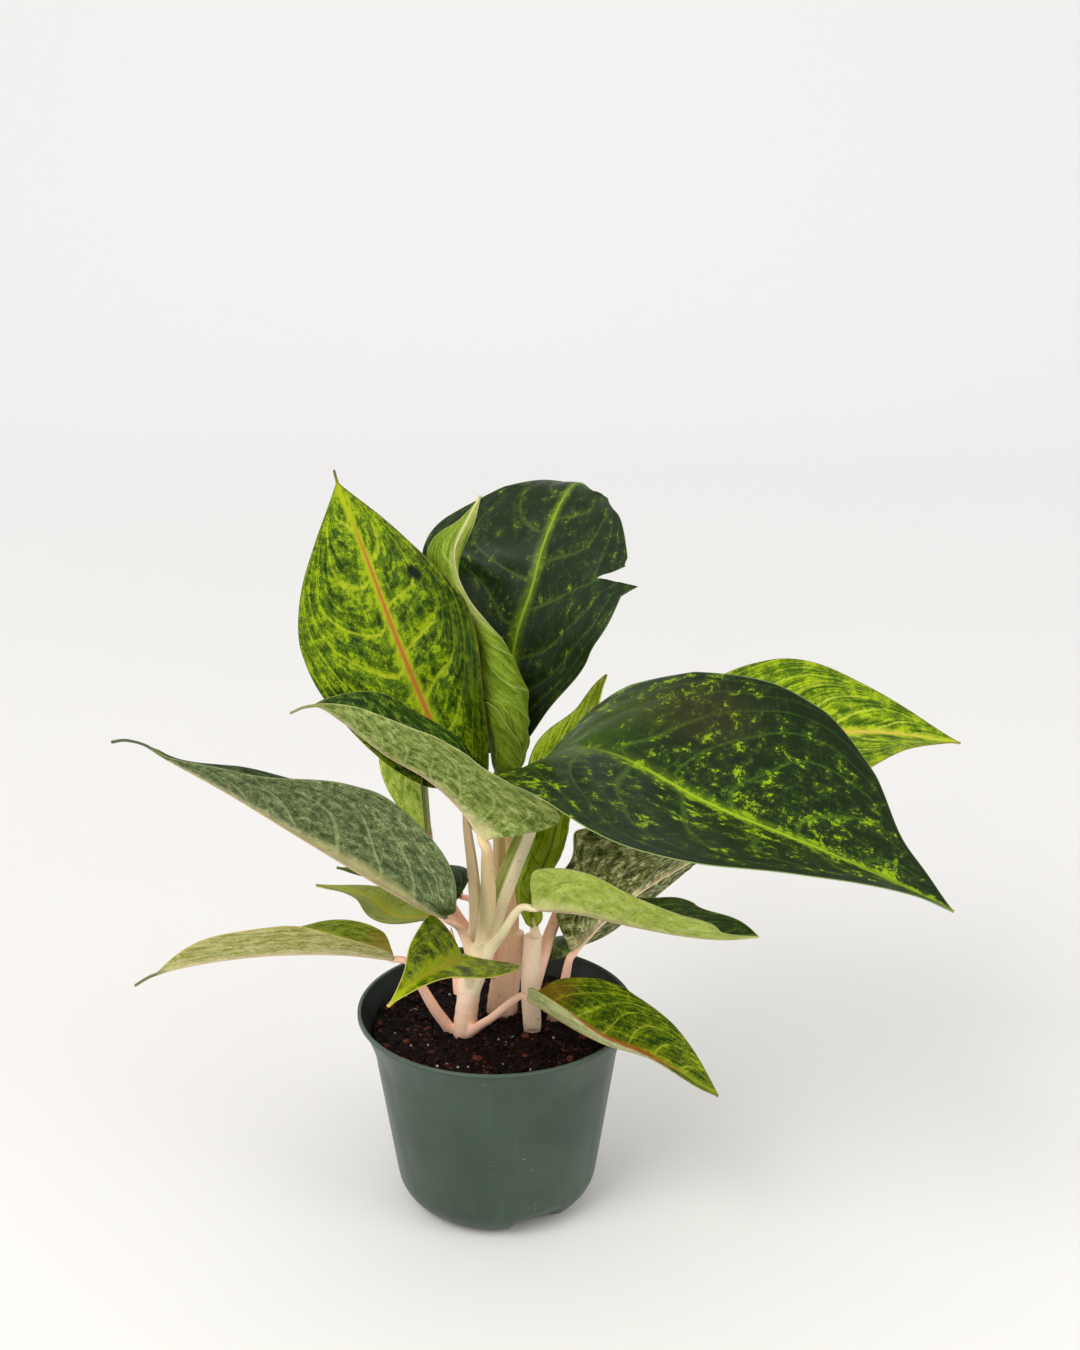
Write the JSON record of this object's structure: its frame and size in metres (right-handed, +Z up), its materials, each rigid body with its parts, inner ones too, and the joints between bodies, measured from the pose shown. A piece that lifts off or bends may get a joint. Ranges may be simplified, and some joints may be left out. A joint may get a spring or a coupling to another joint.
{
  "type": "potted chinese evergreen",
  "caption": "Leafy house plant with broad mottled green blades on pale arching petioles, in a round green nursery pot filled with dark potting mix.",
  "frame": {"origin": "middle of the pot's flat base, on the surface it stands on", "axes": "+Z up along the pot's axis; +X to the viewer's right and -Y towards the viewer of the picture"},
  "size_m": [0.4525, 0.2741, 0.4022],
  "materials": {
    "pot_plastic": "dull green moulded plastic, satin, slightly scuffed",
    "potting_mix": "dark damp peat with reddish bark and pale specks",
    "stalk_pale": "smooth cream, greener and streaked upwards",
    "stalk_pink": "smooth pale pink, browner upwards",
    "leaf_dark": "glossy dark green with lime flecks and a lime midrib, pale grey-green below",
    "leaf_lime": "semi-gloss lime and mid green mottle with a pale or pink midrib",
    "leaf_mid": "semi-gloss mid green mottle with pale margins, grey-green with pale veins below"
  },
  "bodies": {
    "root": {"pot": "pot_plastic", "soil": "potting_mix", "stalks_front": "stalk_pale", "stalks_rear": "stalk_pink", "stalks_right": "stalk_pale", "stalk_back_right": "stalk_pink", "leaf_upper_left": "leaf_lime", "leaf_top_dark": "leaf_dark", "leaf_top_rolled": "leaf_mid", "leaf_mid_left": "leaf_mid", "leaf_long_left": "leaf_mid", "leaf_low_left": "leaf_mid", "leaf_small_left": "leaf_lime", "leaf_hidden_left": "leaf_dark", "leaf_back_left": "leaf_lime", "leaf_small_front": "leaf_lime", "leaf_large_right": "leaf_dark", "leaf_far_right": "leaf_lime", "leaf_spear": "leaf_mid", "leaf_back_right": "leaf_mid", "leaf_mid_right": "leaf_mid", "leaf_low_right": "leaf_mid"}
  },
  "joints": []
}
